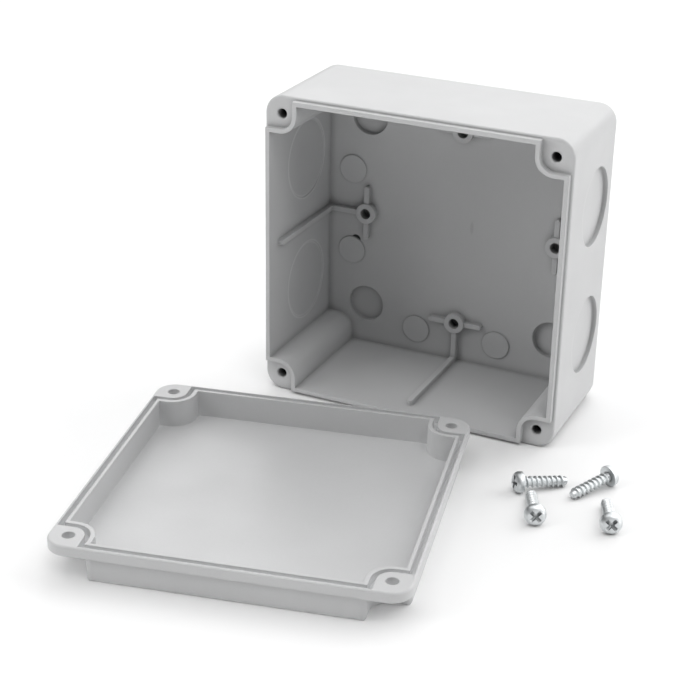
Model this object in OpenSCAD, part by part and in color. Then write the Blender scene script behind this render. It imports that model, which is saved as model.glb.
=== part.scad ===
// Square junction box for a wall-mounted camera, taken apart on a table.
// The moulded body stands on one side wall with its mouth towards -Y, the lid
// lies inside up in front of it, and the four lid screws lie beside the lid.
// Millimetres, +Z up. The origin is the middle of the side the body stands on.

/* [Box body] */
// Side of the square body
box_w = 100; // [90:1:160]
// Depth from the outer back face to the corner pads at the mouth
box_d = 45; // [38:0.5:90]
// Radius of the four outer corners
corner_r = 6; // [4:0.5:10]
// Radius of the rounded edge round the back
back_edge_r = 5.8; // [1:0.2:8]
// Thickness of the four side walls
wall_t = 2.3; // [2:0.1:4]
// Thickness of the back wall
back_t = 2.4; // [2:0.1:5]

/* [Rim] */
// Width of the ledge outside the tongue
ledge_w = 0.9; // [0.5:0.1:1.2]
// Radius of the outer edges where the body and the lid meet, and under the flange
rim_edge_r = 0.7; // [0.2:0.1:1]
// Height of the tongue above the ledge
tongue_h = 2; // [1:0.1:3]
// Radius of the flat pad round each screw hole
pad_r = 4.4; // [3.5:0.1:6]
// Gap between the tongue and each side of the groove in the lid
groove_gap = 0.05; // [0.05:0.05:0.4]
// Gap between the top of the tongue and the bottom of the groove
groove_end_gap = 0.4; // [0.1:0.1:1]
// Thickness of the lid's flange under the groove
groove_floor_t = 1; // [0.8:0.1:3]

/* [Screw holes] */
// Distance of each screw hole from the two nearest outer faces
screw_inset = 5.75; // [5:0.05:8]
// Amount by which a pilot hole in the body is narrower than the thread
thread_bite = 0.4; // [0.2:0.1:1]
// Depth of a pilot hole beyond the end of its screw
pilot_spare = 3.5; // [1:0.5:8]
// Size of the countersunk edge of each pilot hole
pilot_chamfer = 0.3; // [0.2:0.1:0.6]
// Amount by which a screw hole in the lid is wider than the thread
lid_hole_gap = 0.1; // [0.1:0.1:1]

/* [Inside the back wall] */
// Distance of each boss, and of each round recess, from the nearest side wall
boss_inset = 14.2; // [8:0.1:30]
// Diameter of the four bosses
boss_d = 7; // [5:0.1:10]
// Height of the bosses above the back wall
boss_h = 2.5; // [1:0.1:6]
// Diameter of the blind hole in each boss
boss_hole_d = 3.6; // [2:0.1:4]
// Depth of the blind hole in each boss
boss_hole_depth = 4; // [2:0.1:4.5]
// Thickness of the ribs
rib_t = 1.7; // [1:0.1:3]
// Height of the ribs above the back wall
rib_h = 2; // [1:0.1:5]
// Reach of the cross ribs on each side of a boss
cross_rib_reach = 9.5; // [5:0.5:15]
// Height of the ribs on the side walls
wall_rib_h = 1.8; // [1:0.1:4]
// Distance from the mouth to the end of the ribs on the side walls
rib_end_gap = 3.5; // [1:0.5:20]
// Diameter of the four round recesses, the drilling points for wall screws
recess_d = 12.6; // [6:0.5:16]
// Depth of the round recesses
recess_depth = 1.9; // [0.5:0.1:1.9]
// Diameter of the low round ejector pads
pad_d = 9.6; // [5:0.2:12]
// Height of the ejector pads
pad_h = 0.5; // [0.2:0.1:1]
// Distance of the ejector pads from the nearest side wall
pad_inset = 8.5; // [6:0.1:12]
// Distance of the ejector pads from the middle line between them
pad_offset = 14.5; // [12:0.5:20]

/* [Knock-outs] */
// Diameter of the knock-outs in the left and right walls
knockout_d = 24.7; // [16:0.1:26]
// Thickness left at the bottom of a knock-out
knockout_skin = 0.7; // [0.4:0.1:1.2]
// Height of the knock-out centres above the outer back face
knockout_rise = 20.6; // [18:0.1:30]
// Distance of the knock-out centres from the middle line between them
knockout_offset = 21.3; // [14:0.1:26]
// Shift of both pairs of knock-outs along their walls
knockout_shift = 0.9; // [-3:0.1:3]
// Diameter of the shallow score round each knock-out inside
score_d = 26; // [17:0.2:28]
// Depth of that score
score_depth = 0.2; // [0.1:0.05:0.3]

/* [Lid] */
// Height of the lid
lid_h = 11; // [9:0.1:25]
// Thickness of the flat top of the lid
lid_top_t = 2.5; // [1.5:0.1:4]
// Step from the flange in to the raised top
dome_inset = 1.5; // [0.5:0.1:3]
// Radius of the edge round the raised top
dome_edge_r = 1.2; // [0.4:0.1:2]
// Radius of the upright edges beside the screw heads
dome_corner_r = 2; // [0.4:0.1:3]
// Thickness of the inner lip of the groove
lip_t = 1; // [0.8:0.1:2]
// Free space round each screw head
head_room = 2.6; // [1:0.1:4]
// Wall between that space and the inside of the lid
notch_wall_t = 1.3; // [1:0.1:2.5]

/* [Screws] */
// Diameter of the pan heads
head_d = 6.5; // [5:0.1:9]
// Height of the pan heads
head_h = 2.4; // [1.5:0.1:4]
// Height of the straight side of the pan heads
head_side_h = 0.8; // [0.4:0.1:1.2]
// Outer diameter of the thread
thread_d = 3.5; // [3:0.1:4.5]
// Length under the head
screw_len = 14.5; // [8:0.5:30]
// Length of the tapered tip
tip_len = 1.6; // [1:0.1:5]
// Diameter of the blunt end
tip_d = 2.4; // [0.5:0.1:3]
// Diameter of the cross recess at the top of the head
cross_d = 4.2; // [2:0.1:5]
// Width of the slots of the cross recess
cross_t = 1.1; // [0.5:0.1:1.5]
// Depth of the cross recess
cross_depth = 1.6; // [0.8:0.1:2]

/* [Layout on the table] */
// Gap between the mouth of the body and the nearest corner of the lid
lid_gap = 11; // [2:0.5:100]
// Sideways place of the middle of the lid
lid_x = -10.7; // [-60:0.1:10]
// Turn of the lid
lid_turn = 12.1; // [-30:0.1:30]
// First screw: distance of its head to the right of the body
screw_1_x = -0.1; // [-60:0.1:60]
// First screw: distance of its head in front of the mouth
screw_1_y = 26.5; // [5:0.1:120]
// First screw: turn of its tip from straight right
screw_1_turn = 41; // [-180:1:180]
// Second screw: distance of its head to the right of the body
screw_2_x = 21.7; // [-60:0.1:60]
// Second screw: distance of its head in front of the mouth
screw_2_y = 11.9; // [5:0.1:120]
// Second screw: turn of its tip from straight right
screw_2_turn = -119; // [-180:1:180]
// Third screw: distance of its head to the right of the body
screw_3_x = 9.5; // [-60:0.1:60]
// Third screw: distance of its head in front of the mouth
screw_3_y = 41.9; // [5:0.1:120]
// Third screw: turn of its tip from straight right
screw_3_turn = 114; // [-180:1:180]
// Fourth screw: distance of its head to the right of the body
screw_4_x = 30.3; // [-60:0.1:60]
// Fourth screw: distance of its head in front of the mouth
screw_4_y = 36.6; // [5:0.1:120]
// Fourth screw: turn of its tip from straight right
screw_4_turn = 112; // [-180:1:180]

/* [Hidden] */
$fn = 96;

// Amount by which cuts run past a face and added shapes run into a wall
over = 1;
weld = 0.5;
// Least difference between the corner radius and the edge round the back
corner_flat = 0.1;

body_grey = [0.86, 0.87, 0.87];
zinc = [0.78, 0.8, 0.82];

half_w = box_w / 2;
mouth_y = -box_d / 2 - tongue_h;
tongue_w = wall_t - ledge_w;
column_r = pad_r + tongue_w;
hole_pos = half_w - screw_inset;
bite_reach = screw_inset + over;
inner_half = half_w - wall_t;
boss_pos = inner_half - boss_inset;
pad_pos = inner_half - pad_inset;
back_r = min(back_edge_r, corner_r - corner_flat);
wall_rib_len = box_d - rib_end_gap - back_t;

groove_depth = tongue_h + groove_end_gap;
flange_t = groove_depth + groove_floor_t;
groove_in = inner_half - groove_gap;
groove_in_r = column_r + groove_gap;
dome_half = half_w - dome_inset;
dome_h = lid_h - flange_t;
pilot_d = thread_d - thread_bite;
pilot_depth = screw_len - flange_t + pilot_spare;
lid_hole_d = thread_d + lid_hole_gap;
notch_r = head_d / 2 + head_room;
tray_r = max(notch_r + notch_wall_t, groove_in_r + lip_t);
lid_reach = (half_w - corner_r) * (cos(lid_turn) + abs(sin(lid_turn))) + corner_r;
lid_y = mouth_y - lid_gap - lid_reach;

head_r = head_d / 2;
thread_r = thread_d / 2;
thread_len = screw_len - tip_len;
head_edge_r = head_h - head_side_h;
lie_angle = atan((head_r - thread_r) / thread_len);
lie_height = head_r * cos(lie_angle);
screw_places = [
    [screw_1_x, screw_1_y, screw_1_turn],
    [screw_2_x, screw_2_y, screw_2_turn],
    [screw_3_x, screw_3_y, screw_3_turn],
    [screw_4_x, screw_4_y, screw_4_turn]
];

// Copies of a shape turned to each of the four side walls
module at_sides() {
    for (turn = [0 : 90 : 270])
        rotate(turn)
            children();
}

// Copies of a shape at the four corners of a square, each turned outwards
module at_corners(half) {
    at_sides()
        translate([half, half])
            children();
}

// Outer corner round a screw hole: straight sides and one round inner corner
module corner_bite(r) {
    circle(r);
    translate([-r, 0])
        square([r + bite_reach, bite_reach]);
    translate([0, -r])
        square([bite_reach, r + bite_reach]);
}

// Square with each corner cut away round the screw hole there
module bitten_square(half, bite_r) {
    difference() {
        square(2 * half, center = true);
        at_corners(hole_pos)
            corner_bite(bite_r);
    }
}

// Right half of a disc, for the round edges of a section
module half_disc(r) {
    intersection() {
        circle(r);
        translate([0, -r])
            square([r, 2 * r]);
    }
}

// Section of a block from its middle line to its side, with round edges
module half_section(half, height, low_r, top_r) {
    translate([0, low_r])
        square([half, height - low_r - top_r]);
    square([half - low_r, low_r + weld]);
    translate([half - low_r, low_r])
        half_disc(low_r);
    if (top_r > 0) {
        translate([0, height - top_r - weld])
            square([half - top_r, top_r + weld]);
        translate([half - top_r, height - top_r])
            half_disc(top_r);
    }
}

// Bar of the whole section, as long as given
module section_bar(half, height, low_r, top_r, length) {
    rotate([90, 0, 0])
        linear_extrude(length, center = true) {
            half_section(half, height, low_r, top_r);
            mirror([1, 0])
                half_section(half, height, low_r, top_r);
        }
}

// Solid block as wide as the box, with round corners and edges
module block(height, low_r, top_r) {
    straight = box_w - 2 * corner_r;
    section_bar(half_w, height, low_r, top_r, straight);
    rotate(90)
        section_bar(half_w, height, low_r, top_r, straight);
    at_corners(half_w - corner_r)
        rotate_extrude()
            half_section(corner_r, height, low_r, top_r);
}

// Pilot hole with a countersunk edge, from its mouth downwards
module pilot_hole() {
    translate([0, 0, -pilot_depth])
        cylinder(d = pilot_d, h = pilot_depth + over);
    translate([0, 0, -pilot_chamfer])
        cylinder(d1 = pilot_d, d2 = pilot_d + 2 * pilot_chamfer, h = pilot_chamfer);
}

// Knock-out pocket in the outside of the +X wall, and its score inside
module knockout() {
    pocket = wall_t - knockout_skin - score_depth;
    translate([half_w - pocket, 0, knockout_rise])
        rotate([0, 90, 0])
            cylinder(d = knockout_d, h = pocket + over);
    translate([inner_half - over, 0, knockout_rise])
        rotate([0, 90, 0])
            cylinder(d = score_d, h = score_depth + over);
}

// Rib lying along +X with a round end at length
module round_end_bar(length) {
    translate([0, -rib_t / 2])
        square([length, rib_t]);
    translate([length, 0])
        circle(d = rib_t);
}

// Boss with its cross ribs, and the rib that runs out to the wall and up it
module boss_and_ribs() {
    translate([boss_pos, 0, back_t - weld])
        cylinder(d = boss_d, h = boss_h + weld);
    translate([boss_pos, 0, back_t - weld])
        linear_extrude(rib_h + weld)
            for (turn = [-90, 90])
                rotate(turn)
                    round_end_bar(cross_rib_reach - rib_t / 2);
    translate([boss_pos, -rib_t / 2, back_t - weld])
        cube([boss_inset + weld, rib_t, rib_h + weld]);
    translate([inner_half - wall_rib_h, 0, back_t - weld])
        rotate([90, 0, 90])
            linear_extrude(wall_rib_h + weld)
                rotate(90)
                    round_end_bar(wall_rib_len + weld - rib_t / 2);
}

// Low round pads left by the ejector pins, two beside each boss
module ejector_pads() {
    for (side = [-1, 1])
        translate([pad_pos, side * pad_offset, back_t - weld])
            cylinder(d = pad_d, h = pad_h + weld);
}

// Body lying on its back: outer back face at z = 0, mouth upwards
module body_on_back() {
    difference() {
        union() {
            difference() {
                union() {
                    block(box_d, back_r, rim_edge_r);
                    translate([0, 0, box_d - weld])
                        linear_extrude(tongue_h + weld)
                            bitten_square(half_w - ledge_w, pad_r);
                }
                translate([0, 0, back_t])
                    linear_extrude(box_d + tongue_h)
                        bitten_square(inner_half, column_r);
            }
            at_sides() {
                boss_and_ribs();
                ejector_pads();
            }
        }
        translate([0, 0, box_d])
            at_corners(hole_pos)
                pilot_hole();
        at_sides()
            translate([boss_pos, 0, back_t + boss_h - boss_hole_depth])
                cylinder(d = boss_hole_d, h = boss_hole_depth + over);
        translate([0, 0, back_t - recess_depth])
            at_corners(boss_pos)
                cylinder(d = recess_d, h = recess_depth + over);
        for (turn = [0, 180], side = [-1, 1])
            rotate(turn)
                translate([0, side * knockout_offset + cos(turn) * knockout_shift, 0])
                    knockout();
    }
}

// What rounding takes off the lower edge of a notch, outwards from its wall
module edge_waste() {
    difference() {
        square(dome_edge_r);
        translate([dome_edge_r, dome_edge_r])
            circle(dome_edge_r);
    }
}

// What rounding takes off one upright edge beside a notch
module corner_waste() {
    face = dome_half - hole_pos;
    translate([face - dome_corner_r, -notch_r - dome_corner_r])
        difference() {
            square(dome_corner_r + over);
            circle(dome_corner_r);
        }
}

// Space for a screw head at one corner of the lid, with a round lower edge
module head_notch() {
    translate([0, 0, -over])
        linear_extrude(dome_h + weld + 2 * over) {
            corner_bite(notch_r);
            corner_waste();
            mirror([1, -1])
                corner_waste();
        }
    rotate_extrude()
        translate([notch_r, 0])
            edge_waste();
    translate([0, -notch_r, 0])
        rotate([90, 0, 90])
            linear_extrude(bite_reach)
                mirror([1, 0])
                    edge_waste();
    translate([-notch_r, bite_reach, 0])
        rotate([90, 0, 0])
            linear_extrude(bite_reach)
                mirror([1, 0])
                    edge_waste();
}

// Raised top of the lid, outer face at z = 0, reaching a little into the flange
module dome() {
    intersection() {
        section_bar(dome_half, dome_h + weld, dome_edge_r, 0, 2 * dome_half);
        rotate(90)
            section_bar(dome_half, dome_h + weld, dome_edge_r, 0, 2 * dome_half);
    }
}

// Lid lying inside up: outer face at z = 0, flange face at z = lid_h
module lid_on_face() {
    difference() {
        union() {
            difference() {
                dome();
                at_corners(hole_pos)
                    head_notch();
            }
            translate([0, 0, dome_h])
                block(flange_t, rim_edge_r, rim_edge_r);
        }
        translate([0, 0, lid_top_t])
            linear_extrude(lid_h)
                bitten_square(groove_in - lip_t, tray_r);
        translate([0, 0, lid_h - groove_depth])
            linear_extrude(groove_depth + over)
                difference() {
                    bitten_square(half_w - ledge_w + groove_gap, pad_r - groove_gap);
                    bitten_square(groove_in, groove_in_r);
                }
        at_corners(hole_pos)
            cylinder(d = lid_hole_d, h = lid_h + over);
    }
}

// Half section of a screw: head above z = 0, thread and blunt tip below
module screw_section() {
    square([head_r, head_side_h]);
    square([head_r - head_edge_r, head_h]);
    translate([head_r - head_edge_r, head_side_h])
        intersection() {
            circle(head_edge_r);
            square(head_edge_r);
        }
    polygon([
        [0, weld],
        [thread_r, weld],
        [thread_r, -thread_len],
        [tip_d / 2, -screw_len],
        [0, -screw_len]
    ]);
}

// Cross recess, from the top of the head downwards
module cross_recess() {
    translate([0, 0, head_h - cross_depth])
        intersection() {
            linear_extrude(cross_depth + over) {
                square([cross_d, cross_t], center = true);
                square([cross_t, cross_d], center = true);
            }
            cylinder(d1 = cross_t, d2 = cross_d, h = cross_depth);
        }
}

// One screw lying on the rim of its head and the end of its thread
module lying_screw(place) {
    translate([half_w + place[0], mouth_y - place[1], 0])
        rotate(place[2])
            translate([0, 0, lie_height])
                rotate([0, lie_angle - 90, 0])
                    difference() {
                        rotate_extrude()
                            screw_section();
                        cross_recess();
                    }
}

module box_body() {
    color(body_grey)
        translate([0, box_d / 2, half_w])
            rotate([90, 0, 0])
                body_on_back();
}

module lid() {
    color(body_grey)
        translate([lid_x, lid_y, 0])
            rotate(lid_turn)
                lid_on_face();
}

module lid_screws() {
    color(zinc)
        for (place = screw_places)
            lying_screw(place);
}

box_body();
lid();
lid_screws();
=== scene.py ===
import math

import bpy
from mathutils import Matrix, Vector


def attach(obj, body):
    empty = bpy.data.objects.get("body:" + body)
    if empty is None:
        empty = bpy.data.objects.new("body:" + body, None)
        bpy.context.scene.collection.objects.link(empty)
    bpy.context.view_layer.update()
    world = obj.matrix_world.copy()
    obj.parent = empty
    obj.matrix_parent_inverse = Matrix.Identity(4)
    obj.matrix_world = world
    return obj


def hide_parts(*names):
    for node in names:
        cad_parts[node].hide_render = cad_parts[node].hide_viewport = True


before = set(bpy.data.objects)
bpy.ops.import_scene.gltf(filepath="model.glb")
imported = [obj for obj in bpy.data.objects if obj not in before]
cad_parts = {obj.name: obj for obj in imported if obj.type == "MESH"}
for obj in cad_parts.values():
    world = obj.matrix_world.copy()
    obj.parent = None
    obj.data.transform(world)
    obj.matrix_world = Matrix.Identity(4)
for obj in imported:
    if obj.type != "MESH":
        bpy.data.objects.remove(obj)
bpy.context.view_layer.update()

scene = bpy.context.scene
scene.view_settings.view_transform = "Standard"


# Camera: a long lens on a stand in front of the table, a little to the right, looking
# down into the open body. Its place and turn were fitted to the corners of the mouth.
camera_place = (0.181582, -0.461248, 0.24629)
camera_turn = (64.813156, -1.02894, 25.130759)
camera_lens = 85.513
camera_sensor = 36
nearest_seen = 0.01
camera_data = bpy.data.cameras.new("camera")
camera_data.lens = camera_lens
camera_data.sensor_width = camera_sensor
camera_data.clip_start = nearest_seen
camera = bpy.data.objects.new("camera", camera_data)
camera.location = camera_place
camera.rotation_euler = [math.radians(angle) for angle in camera_turn]
scene.collection.objects.link(camera)
scene.camera = camera


# Table: a plain matt white sheet under the pieces. It takes their shadows, and shows a
# little brighter to the camera and in the metal, so that it is white where it is bare.
table_size = 6
table_drop = 0.00002
table_white = (0.9, 0.9, 0.9, 1)
table_roughness = 0.9
table_lift = 0.06
pure_white = (1, 1, 1, 1)


def put(tree, kind, values=None, **settings):
    made = tree.nodes.new(kind)
    for key, value in settings.items():
        setattr(made, key, value)
    for key, value in (values or {}).items():
        made.inputs[key].default_value = value
    return made


def feed(tree, value, socket):
    if isinstance(value, bpy.types.NodeSocket):
        tree.links.new(value, socket)
    else:
        socket.default_value = value


def math_node(tree, operation, first, second=None, clamp=False):
    made = put(tree, "ShaderNodeMath", operation=operation, use_clamp=clamp)
    feed(tree, first, made.inputs[0])
    if second is not None:
        feed(tree, second, made.inputs[1])
    return made.outputs[0]


def seen_by(tree, *rays):
    light_path = put(tree, "ShaderNodeLightPath").outputs
    return math_node(tree, "ADD", light_path[rays[0]], light_path[rays[1]], clamp=True)


def new_material(name):
    material = bpy.data.materials.new(name)
    material.use_nodes = True
    tree = material.node_tree
    return material, tree, tree.nodes["Principled BSDF"]


def dress(piece, material):
    piece.data.materials.clear()
    piece.data.materials.append(material)


bpy.ops.object.select_all(action="DESELECT")
bpy.ops.mesh.primitive_plane_add(size=table_size, location=(0, 0, -table_drop))
table = bpy.context.object
table.name = "table"
white_table, tree, shader = new_material("white_table")
shader.inputs["Base Color"].default_value = table_white
shader.inputs["Roughness"].default_value = table_roughness
shader.inputs["Specular IOR Level"].default_value = 0
shader.inputs["Emission Color"].default_value = pure_white
seen = seen_by(tree, "Is Camera Ray", "Is Glossy Ray")
feed(tree, math_node(tree, "MULTIPLY", seen, table_lift), shader.inputs["Emission Strength"])
dress(table, white_table)


# Studio light: wide soft lamps above, behind and to the right, and weaker ones to the left,
# of which the two sharpest don't show in gloss. The sky is white to the camera, and gloss
# and metal mirror it dark to the left and bright to the right.
lamps = {
    "lamp_top": ((0, 0, 1), 60, 0.93),
    "lamp_right_back": ((1, 0.8, 0.7), 50, 1.15),
    "lamp_right_low": ((1, -0.1, 0.06), 15, 0.45),
    "lamp_front_right": ((0.6, -0.5, 1), 30, 0.58),
    "lamp_front_top": ((-0.35, -0.6, 1), 40, 0.2),
    "lamp_back": ((0, 1, 0.7), 60, 1.19),
    "lamp_front_left": ((-0.8, -0.8, 0.7), 25, 0.5),
    "lamp_left_low": ((-1, -0.5, 0.15), 20, 0.7),
    "lamp_left_high": ((-0.8, 0, 1), 40, 0.27),
    "lamp_back_left": ((-0.8, 0.8, 0.7), 50, 0.55),
}
not_in_gloss = ("lamp_front_left", "lamp_left_low")
mirrored_reach = (-0.4, 0.6)
mirrored_left_right = (0.04, 0.75)


def map_range(tree, value, low_high, to_low_high, smooth=False):
    made = put(tree, "ShaderNodeMapRange", {
        "From Min": low_high[0], "From Max": low_high[1],
        "To Min": to_low_high[0], "To Max": to_low_high[1],
    }, interpolation_type="SMOOTHSTEP" if smooth else "LINEAR")
    feed(tree, value, made.inputs["Value"])
    return made.outputs["Result"]


def split_place(tree, coordinates):
    made = put(tree, "ShaderNodeSeparateXYZ")
    feed(tree, put(tree, "ShaderNodeTexCoord").outputs[coordinates], made.inputs[0])
    return made.outputs


for name, (side, spread, energy) in lamps.items():
    lamp_data = bpy.data.lights.new(name, "SUN")
    lamp_data.energy = energy
    lamp_data.angle = math.radians(spread)
    lamp = bpy.data.objects.new(name, lamp_data)
    lamp.rotation_euler = Vector(side).to_track_quat("Z", "Y").to_euler()
    lamp.visible_glossy = name not in not_in_gloss
    scene.collection.objects.link(lamp)

sky = bpy.data.worlds.new("sky")
sky.use_nodes = True
scene.world = sky
tree = sky.node_tree
background = tree.nodes["Background"]
seen = seen_by(tree, "Is Camera Ray", "Is Transmission Ray")
in_gloss = put(tree, "ShaderNodeLightPath").outputs["Is Glossy Ray"]
facing_x = split_place(tree, "Generated")["X"]
mirrored = map_range(tree, facing_x, mirrored_reach, mirrored_left_right)
mirrored = math_node(tree, "MULTIPLY", in_gloss, mirrored)
feed(tree, math_node(tree, "MAXIMUM", seen, mirrored), background.inputs["Strength"])
background.inputs["Color"].default_value = pure_white


# Box body: the square shell that is fixed to a wall and holds the cable joints. It is moulded
# in one piece in light grey plastic, with a fine even grain, softly rounded edges and faint
# handling marks.
def new_group(name, takes, gives):
    group = bpy.data.node_groups.new(name, "ShaderNodeTree")
    for label, value in takes.items():
        socket = group.interface.new_socket(
            label, in_out="INPUT", socket_type="NodeSocketFloat"
        )
        socket.default_value = value
    for label, kind in gives.items():
        group.interface.new_socket(label, in_out="OUTPUT", socket_type=kind)
    taken = group.nodes.new("NodeGroupInput").outputs
    return group, taken, group.nodes.new("NodeGroupOutput").inputs


def object_place(tree):
    return put(tree, "ShaderNodeTexCoord").outputs["Object"]


def noise(tree, place, scale, detail):
    made = put(tree, "ShaderNodeTexNoise", {"Detail": detail})
    feed(tree, place, made.inputs["Vector"])
    feed(tree, scale, made.inputs["Scale"])
    return made.outputs["Fac"]


# Skin of a moulding: grain from the tool, slow waves where the plastic flowed and shrank
grain_share = 0.22
noise_span = (0.3, 0.7)
slow_shades = (0.975, 1.02)
fine_shades = (0.985, 1.015)
flow_dullness = (-0.05, 0.05)
skin, takes, gives = new_group(
    "moulded_skin",
    {"Grain": 3000, "Flow": 70, "Tone": 28},
    {"Height": "NodeSocketFloat", "Shade": "NodeSocketFloat", "Dullness": "NodeSocketFloat"},
)
place = object_place(skin)
grain = noise(skin, place, takes["Grain"], detail=2)
flow = noise(skin, place, takes["Flow"], detail=1)
tone = noise(skin, place, takes["Tone"], detail=3)
grain_height = math_node(skin, "MULTIPLY", grain, grain_share)
slow_shade = map_range(skin, tone, noise_span, slow_shades)
fine_shade = map_range(skin, grain, noise_span, fine_shades)
feed(skin, math_node(skin, "ADD", grain_height, flow), gives["Height"])
feed(skin, math_node(skin, "MULTIPLY", slow_shade, fine_shade), gives["Shade"])
feed(skin, map_range(skin, flow, noise_span, flow_dullness), gives["Dullness"])

# Soft edge: the small radius that every edge of a moulding has, and where it is rubbed
edge_r = 0.0004
edge_samples = 6
rubbed_span = (1, 0.75)
edges, takes, gives = new_group(
    "soft_edge",
    {"Radius": edge_r},
    {"Normal": "NodeSocketVector", "Rubbed": "NodeSocketFloat"},
)
rounded = put(edges, "ShaderNodeBevel", samples=edge_samples)
feed(edges, takes["Radius"], rounded.inputs["Radius"])
bent = put(edges, "ShaderNodeVectorMath", operation="DOT_PRODUCT")
feed(edges, rounded.outputs["Normal"], bent.inputs[0])
feed(edges, put(edges, "ShaderNodeNewGeometry").outputs["Normal"], bent.inputs[1])
feed(edges, rounded.outputs["Normal"], gives["Normal"])
feed(edges, map_range(edges, bent.outputs["Value"], rubbed_span, (0, 1)), gives["Rubbed"])

# Crevice: how far a place lies in a hole, a slot or the corner of a step, from ambient
# occlusion; the materials below scale their colour by it as painted shade, and on the lid as
# painted light
crevice_samples = 8
crevice, takes, gives = new_group(
    "crevice",
    {"Reach": 0.006, "Open": 0.3, "Shut": 0.05},
    {"Depth": "NodeSocketFloat"},
)
shut_in = put(crevice, "ShaderNodeAmbientOcclusion", samples=crevice_samples)
closed = put(crevice, "ShaderNodeMapRange")
feed(crevice, takes["Reach"], shut_in.inputs["Distance"])
feed(crevice, shut_in.outputs["AO"], closed.inputs["Value"])
feed(crevice, takes["Open"], closed.inputs["From Min"])
feed(crevice, takes["Shut"], closed.inputs["From Max"])
feed(crevice, closed.outputs["Result"], gives["Depth"])

# Handling marks: short thin scuffs that dull the surface
scuff_turns = ((0.4, 0.7, 0.2), (-0.5, 0.3, 1.1))
scuff_stretch = (60, 900, 900)
scuff_span = (0.66, 0.74)
marks, takes, gives = new_group(
    "handling_marks", {"Amount": 0.5}, {"Scuffs": "NodeSocketFloat"}
)
place = object_place(marks)
streaks = []
for turn in scuff_turns:
    turned = put(marks, "ShaderNodeMapping", {"Rotation": turn, "Scale": scuff_stretch})
    feed(marks, place, turned.inputs["Vector"])
    streak = noise(marks, turned.outputs["Vector"], scale=1, detail=2)
    streaks.append(map_range(marks, streak, scuff_span, (0, 1)))
both = math_node(marks, "MAXIMUM", *streaks)
feed(marks, math_node(marks, "MULTIPLY", both, takes["Amount"]), gives["Scuffs"])


def add_group(tree, group, **values):
    made = tree.nodes.new("ShaderNodeGroup")
    made.node_tree = group
    for key, value in values.items():
        made.inputs[key].default_value = value
    return made.outputs


def mix_colour(tree, amount, first, second):
    made = put(tree, "ShaderNodeMix", data_type="RGBA")
    feed(tree, amount, made.inputs["Factor"])
    for key, value in (("A", first), ("B", second)):
        feed(tree, value, next(s for s in made.inputs if s.name == key and s.type == "RGBA"))
    return next(s for s in made.outputs if s.type == "RGBA")


def shade(tree, colour, amount):
    made = put(tree, "ShaderNodeVectorMath", operation="SCALE")
    feed(tree, colour, made.inputs[0])
    feed(tree, amount, made.inputs["Scale"])
    return made.outputs["Vector"]


hole_reach = 0.006
hole_shut = 0.05
step_reach = 0.003
step_open = 0.93
step_shut = 0.42
rubbed_share = 0.5
scuff_dulls = 0.15
rub_polishes = 0.08
skin_relief = {"Strength": 0.5, "Distance": 0.0001}


def moulded_plastic(name, grey, rubbed_grey, roughness, scuffs, hole_open, hole_painted_shading, step_painted_shade):
    material, tree, shader = new_material(name)
    surface = add_group(tree, skin)
    edge = add_group(tree, edges, Radius=edge_r)
    handled = add_group(tree, marks, Amount=scuffs)
    hole = add_group(tree, crevice, Reach=hole_reach, Open=hole_open, Shut=hole_shut)
    step = add_group(tree, crevice, Reach=step_reach, Open=step_open, Shut=step_shut)

    # Painted shade: the colour is darkened deep in holes and slots and at the foot of steps and
    # corners, and made paler there instead (painted light) where the hole factor is above 1
    deep = map_range(tree, hole["Depth"], (0, 1), (1, hole_painted_shading))
    low = map_range(tree, step["Depth"], (0, 1), (1, step_painted_shade))
    painted_shading = math_node(tree, "MULTIPLY", deep, low)
    shaded = shade(tree, grey, math_node(tree, "MULTIPLY", surface["Shade"], painted_shading))
    rubbed = math_node(tree, "MULTIPLY", edge["Rubbed"], rubbed_share)
    colour = mix_colour(tree, rubbed, shaded, (*rubbed_grey, 1))

    scuffed = math_node(tree, "MULTIPLY", handled["Scuffs"], scuff_dulls)
    polished = math_node(tree, "MULTIPLY", edge["Rubbed"], rub_polishes)
    dull = math_node(tree, "ADD", surface["Dullness"], roughness)
    dull = math_node(tree, "ADD", dull, scuffed)
    dull = math_node(tree, "SUBTRACT", dull, polished, clamp=True)

    bump = put(tree, "ShaderNodeBump", skin_relief)
    feed(tree, surface["Height"], bump.inputs["Height"])
    feed(tree, edge["Normal"], bump.inputs["Normal"])
    feed(tree, colour, shader.inputs["Base Color"])
    feed(tree, dull, shader.inputs["Roughness"])
    feed(tree, bump.outputs["Normal"], shader.inputs["Normal"])
    return material, tree, shader, colour


body_grey = (0.58, 0.583, 0.587)
body_rubbed = (0.64, 0.643, 0.647)
# The body gets painted shade: near black deep in its holes, and darker in its inner corners and
# around its ribs, pads and recesses
box_plastic, tree, shader, colour = moulded_plastic(
    "box_plastic", body_grey, body_rubbed, roughness=0.42, scuffs=0.5,
    hole_open=0.3, hole_painted_shading=0.2, step_painted_shade=0.64,
)

# Painted shadow: a near-black crescent on the back wall beside one ejector pad, standing in for
# the deep shade at the pad's edge
dark_crescent_middle = (-0.0378, 0.0201, 0.0394)
dark_crescent_r = 0.0018
dark_crescent_fade = 0.0002
painted_shadow_black = (0.012, 0.012, 0.012, 1)
pad_middle = (-0.0392, 0.0201, 0.0355)
pad_r = 0.0048
pad_fade = 0.0001


def distance_from(tree, point):
    made = put(tree, "ShaderNodeVectorMath", operation="DISTANCE")
    feed(tree, object_place(tree), made.inputs[0])
    made.inputs[1].default_value = point
    return made.outputs["Value"]


from_dark_crescent = distance_from(tree, dark_crescent_middle)
from_pad = distance_from(tree, pad_middle)
in_dark_crescent = map_range(tree, from_dark_crescent, (dark_crescent_r - dark_crescent_fade, dark_crescent_r), (1, 0), smooth=True)
off_pad = map_range(tree, from_pad, (pad_r, pad_r + pad_fade), (0, 1), smooth=True)
painted_shadow = math_node(tree, "MULTIPLY", in_dark_crescent, off_pad)
with_painted_shadow = mix_colour(tree, painted_shadow, colour, painted_shadow_black)

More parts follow.
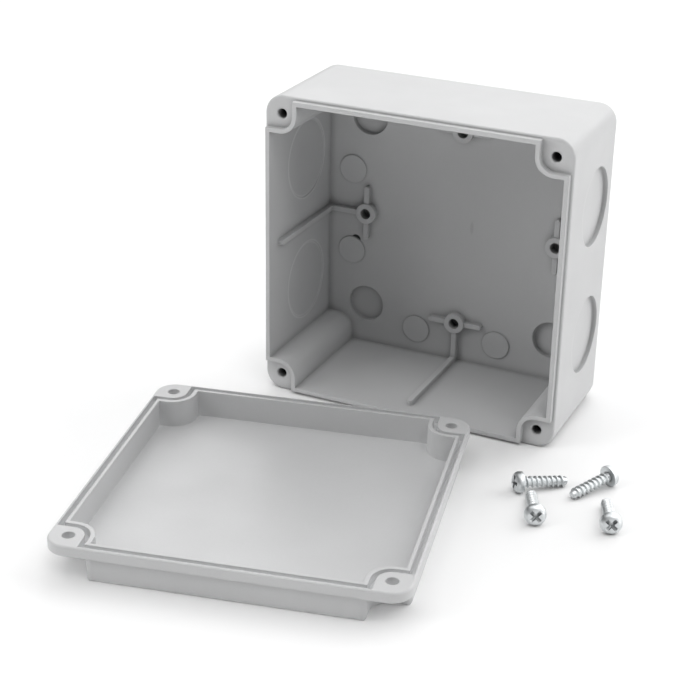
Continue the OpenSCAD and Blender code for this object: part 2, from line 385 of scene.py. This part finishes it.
# Gate mark: a faint upright streak near the middle of the back wall, where the plastic came in
mark_middle = Vector((0.0039, 0.0201, 0.0508))
mark_size = Vector((0.0008, 0.0008, 0.003))
mark_span = (0.4, 1)
mark_tone = 0.88
stretched = put(tree, "ShaderNodeMapping", {
    "Location": [-middle / size for middle, size in zip(mark_middle, mark_size)],
    "Scale": [1 / size for size in mark_size],
})
feed(tree, object_place(tree), stretched.inputs["Vector"])
away = put(tree, "ShaderNodeVectorMath", operation="LENGTH")
feed(tree, stretched.outputs["Vector"], away.inputs[0])
mark_shade = map_range(tree, away.outputs["Value"], mark_span, (mark_tone, 1), smooth=True)

# Knock-out scores: painted highlight, a paler line inside both side walls along each score,
# standing in for light caught at the score's edge
score_r = 0.013
score_line_half = 0.0008
score_middle_y = 0.0019
score_middle_z = 0.0509
score_offset = 0.0213
score_highlight_gain = 1.19
inner_face = 0.048
inner_face_fade = 0.0002
body_place = split_place(tree, "Object")
along = math_node(tree, "SUBTRACT", body_place["Y"], score_middle_y)
up = math_node(tree, "SUBTRACT", body_place["Z"], score_middle_z)
up = math_node(tree, "SUBTRACT", math_node(tree, "ABSOLUTE", up), score_offset)
squares = [math_node(tree, "MULTIPLY", leg, leg) for leg in (up, along)]
from_middle = math_node(tree, "SQRT", math_node(tree, "ADD", *squares))
off_line = math_node(tree, "SUBTRACT", from_middle, score_r)
off_line = math_node(tree, "ABSOLUTE", off_line)
line_span = (score_line_half / 2, score_line_half)
on_line = map_range(tree, off_line, line_span, (1, 0), smooth=True)
sideways = math_node(tree, "ABSOLUTE", body_place["X"])
face_span = (inner_face, inner_face + inner_face_fade)
inside = map_range(tree, sideways, face_span, (1, 0), smooth=True)
scored = math_node(tree, "MULTIPLY", on_line, inside)
painted_score_highlight = map_range(tree, scored, (0, 1), (1, score_highlight_gain))

marked = shade(tree, with_painted_shadow, math_node(tree, "MULTIPLY", mark_shade, painted_score_highlight))
feed(tree, marked, shader.inputs["Base Color"])
dress(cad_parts["box_body"], box_plastic)


# Lid: the shallow cover, moulded in the same grey plastic and lying inside up. Its rim is
# grooved for the body's tongue, and screws through its four ears hold it down.
lid_grey = (0.58, 0.583, 0.587)
lid_rubbed = (0.64, 0.643, 0.647)
# Painted light: the lid's groove and holes are painted paler than the rest of its plastic,
# lightening the shade that falls in them
lid_plastic = moulded_plastic(
    "lid_plastic", lid_grey, lid_rubbed, roughness=0.42, scuffs=0.6,
    hole_open=0.5, hole_painted_shading=1.45, step_painted_shade=1,
)[0]
dress(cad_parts["lid"], lid_plastic)


# Lid screws: four self-tapping steel screws with pan heads and cross recesses, bright zinc
# plated. The head is upset and punched, the thread rolled, the end left blunt. In use they
# go through the lid's ears into the corner columns.
ring_count = 48
head_r = 0.00325
head_h = 0.0024
head_side_h = 0.0008
head_rim = 0.0001
head_steps = 7
head_edge_r = head_h - head_side_h
thread_r = 0.00175
root_r = 0.00125
screw_len = 0.0145
thread_len = 0.0129
pitch = 0.0016


def recalculate_normals():
    bpy.ops.mesh.select_all(action="SELECT")
    bpy.ops.mesh.normals_make_consistent(inside=False)
    bpy.ops.object.mode_set(mode="OBJECT")


def turned_piece(name, rings):
    bpy.ops.object.select_all(action="DESELECT")
    start_r, start_z = rings[0]
    bpy.ops.mesh.primitive_circle_add(
        vertices=ring_count, radius=start_r, fill_type="NGON", location=(0, 0, 0),
        enter_editmode=True,
    )
    piece = bpy.context.object
    piece.name = name
    bpy.ops.transform.translate(value=(0, 0, start_z))
    for (low_r, low_z), (high_r, high_z) in zip(rings, rings[1:]):
        bpy.ops.mesh.extrude_region_move(
            TRANSFORM_OT_translate={"value": (0, 0, high_z - low_z)}
        )
        bpy.ops.transform.resize(
            value=(high_r / low_r, high_r / low_r, 1), center_override=(0, 0, high_z)
        )
    recalculate_normals()
    return piece


def apply_modifier(piece, kind, **settings):
    modifier = piece.modifiers.new(kind.lower(), kind)
    for key, value in settings.items():
        setattr(modifier, key, value)
    bpy.context.view_layer.objects.active = piece
    bpy.ops.object.modifier_apply(modifier=modifier.name)


def boolean(piece, other, operation):
    apply_modifier(piece, "BOOLEAN", object=other, operation=operation, solver="EXACT")
    bpy.data.objects.remove(other)


# Head: a disc with a small rim below and a rounded edge above
head_rings = [(head_r - head_rim, 0), (head_r, head_rim), (head_r, head_side_h)]
for step in range(1, head_steps + 1):
    angle = math.radians(90 * step / head_steps)
    ring_r = head_r - head_edge_r + head_edge_r * math.cos(angle)
    head_rings.append((ring_r, head_side_h + head_edge_r * math.sin(angle)))
screw = turned_piece("lid_screw_1", head_rings)

# Core: the blunt tapered end, the root of the thread and the neck that runs into the head
end_r = 0.0007
end_edge = (0.00098, 0.00015)
end_taper = (0.00112, 0.0005)
neck_r = root_r + 0.0002
neck_low = 0.0006
neck_high = 0.0001
neck_sunk = 0.0006
core = turned_piece("core", [
    (end_r, -screw_len),
    (end_edge[0], -screw_len + end_edge[1]),
    (end_taper[0], -screw_len + end_taper[1]),
    (root_r, -thread_len),
    (root_r, -neck_low),
    (neck_r, -neck_high),
    (neck_r, neck_sunk),
])

# Thread: a ridge section swept up the helix, then drawn in with the tapered end
ridge_bottom = -screw_len + end_taper[1]
ridge_turns = 9
ridge_top = ridge_bottom + ridge_turns * pitch
ridge_foot_half = 0.00072
ridge_crest_half = 0.00016
sunk_r = root_r - 0.0003
end_drawn_in = 0.3
run_out_h = 0.0009
section = [
    (sunk_r, -ridge_foot_half), (sunk_r, ridge_foot_half),
    (thread_r, -ridge_crest_half), (thread_r, ridge_crest_half),
]


def share(value):
    return max(0, min(1, value))


bpy.ops.object.select_all(action="DESELECT")
bpy.ops.mesh.primitive_plane_add(size=1, location=(0, 0, 0))
ridge = bpy.context.object
ridge.name = "ridge"
for vertex, (out, up) in zip(ridge.data.vertices, section):
    vertex.co = (out, 0, ridge_bottom + up)
bpy.ops.object.mode_set(mode="EDIT")
bpy.ops.mesh.select_all(action="SELECT")
bpy.ops.mesh.delete(type="ONLY_FACE")
bpy.ops.object.mode_set(mode="OBJECT")
apply_modifier(
    ridge, "SCREW", axis="Z", angle=math.tau, screw_offset=pitch, iterations=ridge_turns,
    steps=ring_count, render_steps=ring_count, use_merge_vertices=False,
)
bpy.ops.object.mode_set(mode="EDIT")
bpy.ops.mesh.select_all(action="SELECT")
bpy.ops.mesh.fill_holes(sides=len(section))
recalculate_normals()
for vertex in ridge.data.vertices:
    x, y, z = vertex.co
    r = math.hypot(x, y)
    taper = 1 - end_drawn_in * share((-thread_len - z) / (screw_len - thread_len))
    run_out = share((ridge_top - z) / run_out_h)
    drawn = sunk_r + (r - sunk_r) * run_out if r > sunk_r else r
    vertex.co = (x * drawn / r * taper, y * drawn / r * taper, z)

# Cross recess: two tapered slots punched to a point
cross_half = 0.0021
cross_t = 0.0011
cross_depth = 0.0016
punch_spare = 0.0003
bar_len = 0.006
bpy.ops.object.select_all(action="DESELECT")
bpy.ops.mesh.primitive_cone_add(
    vertices=ring_count, radius1=cross_t / 2, radius2=cross_half + punch_spare,
    depth=cross_depth + punch_spare,
    location=(0, 0, head_h - cross_depth / 2 + punch_spare / 2),
)
punch = bpy.context.object
bpy.ops.object.transform_apply(location=True, rotation=True, scale=True)
bpy.ops.object.select_all(action="DESELECT")
bars = []
for turn in (0, 90):
    bpy.ops.mesh.primitive_cube_add(size=1, location=(0, 0, head_h))
    bar = bpy.context.object
    bar.scale = (bar_len, cross_t, bar_len)
    bar.rotation_euler = (0, 0, math.radians(turn))
    bpy.ops.object.transform_apply(location=True, rotation=True, scale=True)
    bars.append(bar)
boolean(bars[0], bars[1], "UNION")
boolean(punch, bars[0], "INTERSECT")
boolean(screw, punch, "DIFFERENCE")
boolean(core, ridge, "UNION")
boolean(screw, core, "UNION")

# Zinc plate: bright and lightly clouded, with shade painted dark down in the recess and between
# the threads
zinc_bright = (0.67, 0.692, 0.7)
zinc_dull = (0.6, 0.622, 0.63)
cloud_scale = 900
cloud_span = (0.35, 0.7)
hollow_painted_shade = 0.2
zinc_roughness = (0.38, 0.44)
rough_scale = 1500
pit_scale = 3000
pit_relief = {"Strength": 0.15, "Distance": 0.00002}
smooth_below = 40
zinc_steel, tree, shader = new_material("zinc_steel")
place = object_place(tree)
cloud = map_range(tree, noise(tree, place, cloud_scale, detail=3), cloud_span, (0, 1))
plate = mix_colour(tree, cloud, (*zinc_bright, 1), (*zinc_dull, 1))
hollow = add_group(tree, crevice, Reach=0.0015, Open=0.74, Shut=0.3)
painted_hollow_shade = shade(tree, plate, map_range(tree, hollow["Depth"], (0, 1), (1, hollow_painted_shade)))
rough = noise(tree, place, rough_scale, detail=2)
bump = put(tree, "ShaderNodeBump", pit_relief)
feed(tree, noise(tree, place, pit_scale, detail=2), bump.inputs["Height"])
feed(tree, painted_hollow_shade, shader.inputs["Base Color"])
feed(tree, map_range(tree, rough, noise_span, zinc_roughness), shader.inputs["Roughness"])
feed(tree, bump.outputs["Normal"], shader.inputs["Normal"])
shader.inputs["Metallic"].default_value = 1
dress(screw, zinc_steel)
bpy.ops.object.select_all(action="DESELECT")
screw.select_set(True)
bpy.context.view_layer.objects.active = screw
bpy.ops.object.shade_smooth_by_angle(angle=math.radians(smooth_below))

# Each screw lies on the rim of its head and the end of its thread
lie_angle = math.atan((head_r - thread_r) / thread_len)
lie_height = head_r * math.cos(lie_angle)
screw_places = [
    (0.0499, -0.051, 41, 10),
    (0.0717, -0.0364, -119, 80),
    (0.0595, -0.0664, 114, 45),
    (0.0803, -0.0611, 112, 48),
]
screws = [screw]
for number in range(2, len(screw_places) + 1):
    copy = screw.copy()
    copy.data = screw.data.copy()
    copy.name = f"lid_screw_{number}"
    scene.collection.objects.link(copy)
    screws.append(copy)


def turn_about(axis, angle):
    return Matrix.Rotation(angle, 4, axis)


tilted = Matrix.Translation((0, 0, lie_height)) @ turn_about("Y", lie_angle - math.pi / 2)
for piece, (x, y, heading, roll) in zip(screws, screw_places):
    on_table = Matrix.Translation((x, y, 0)) @ turn_about("Z", math.radians(heading))
    piece.data.transform(on_table @ tilted @ turn_about("Z", math.radians(roll)))
    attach(piece, "root")
    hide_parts("lid_screws")
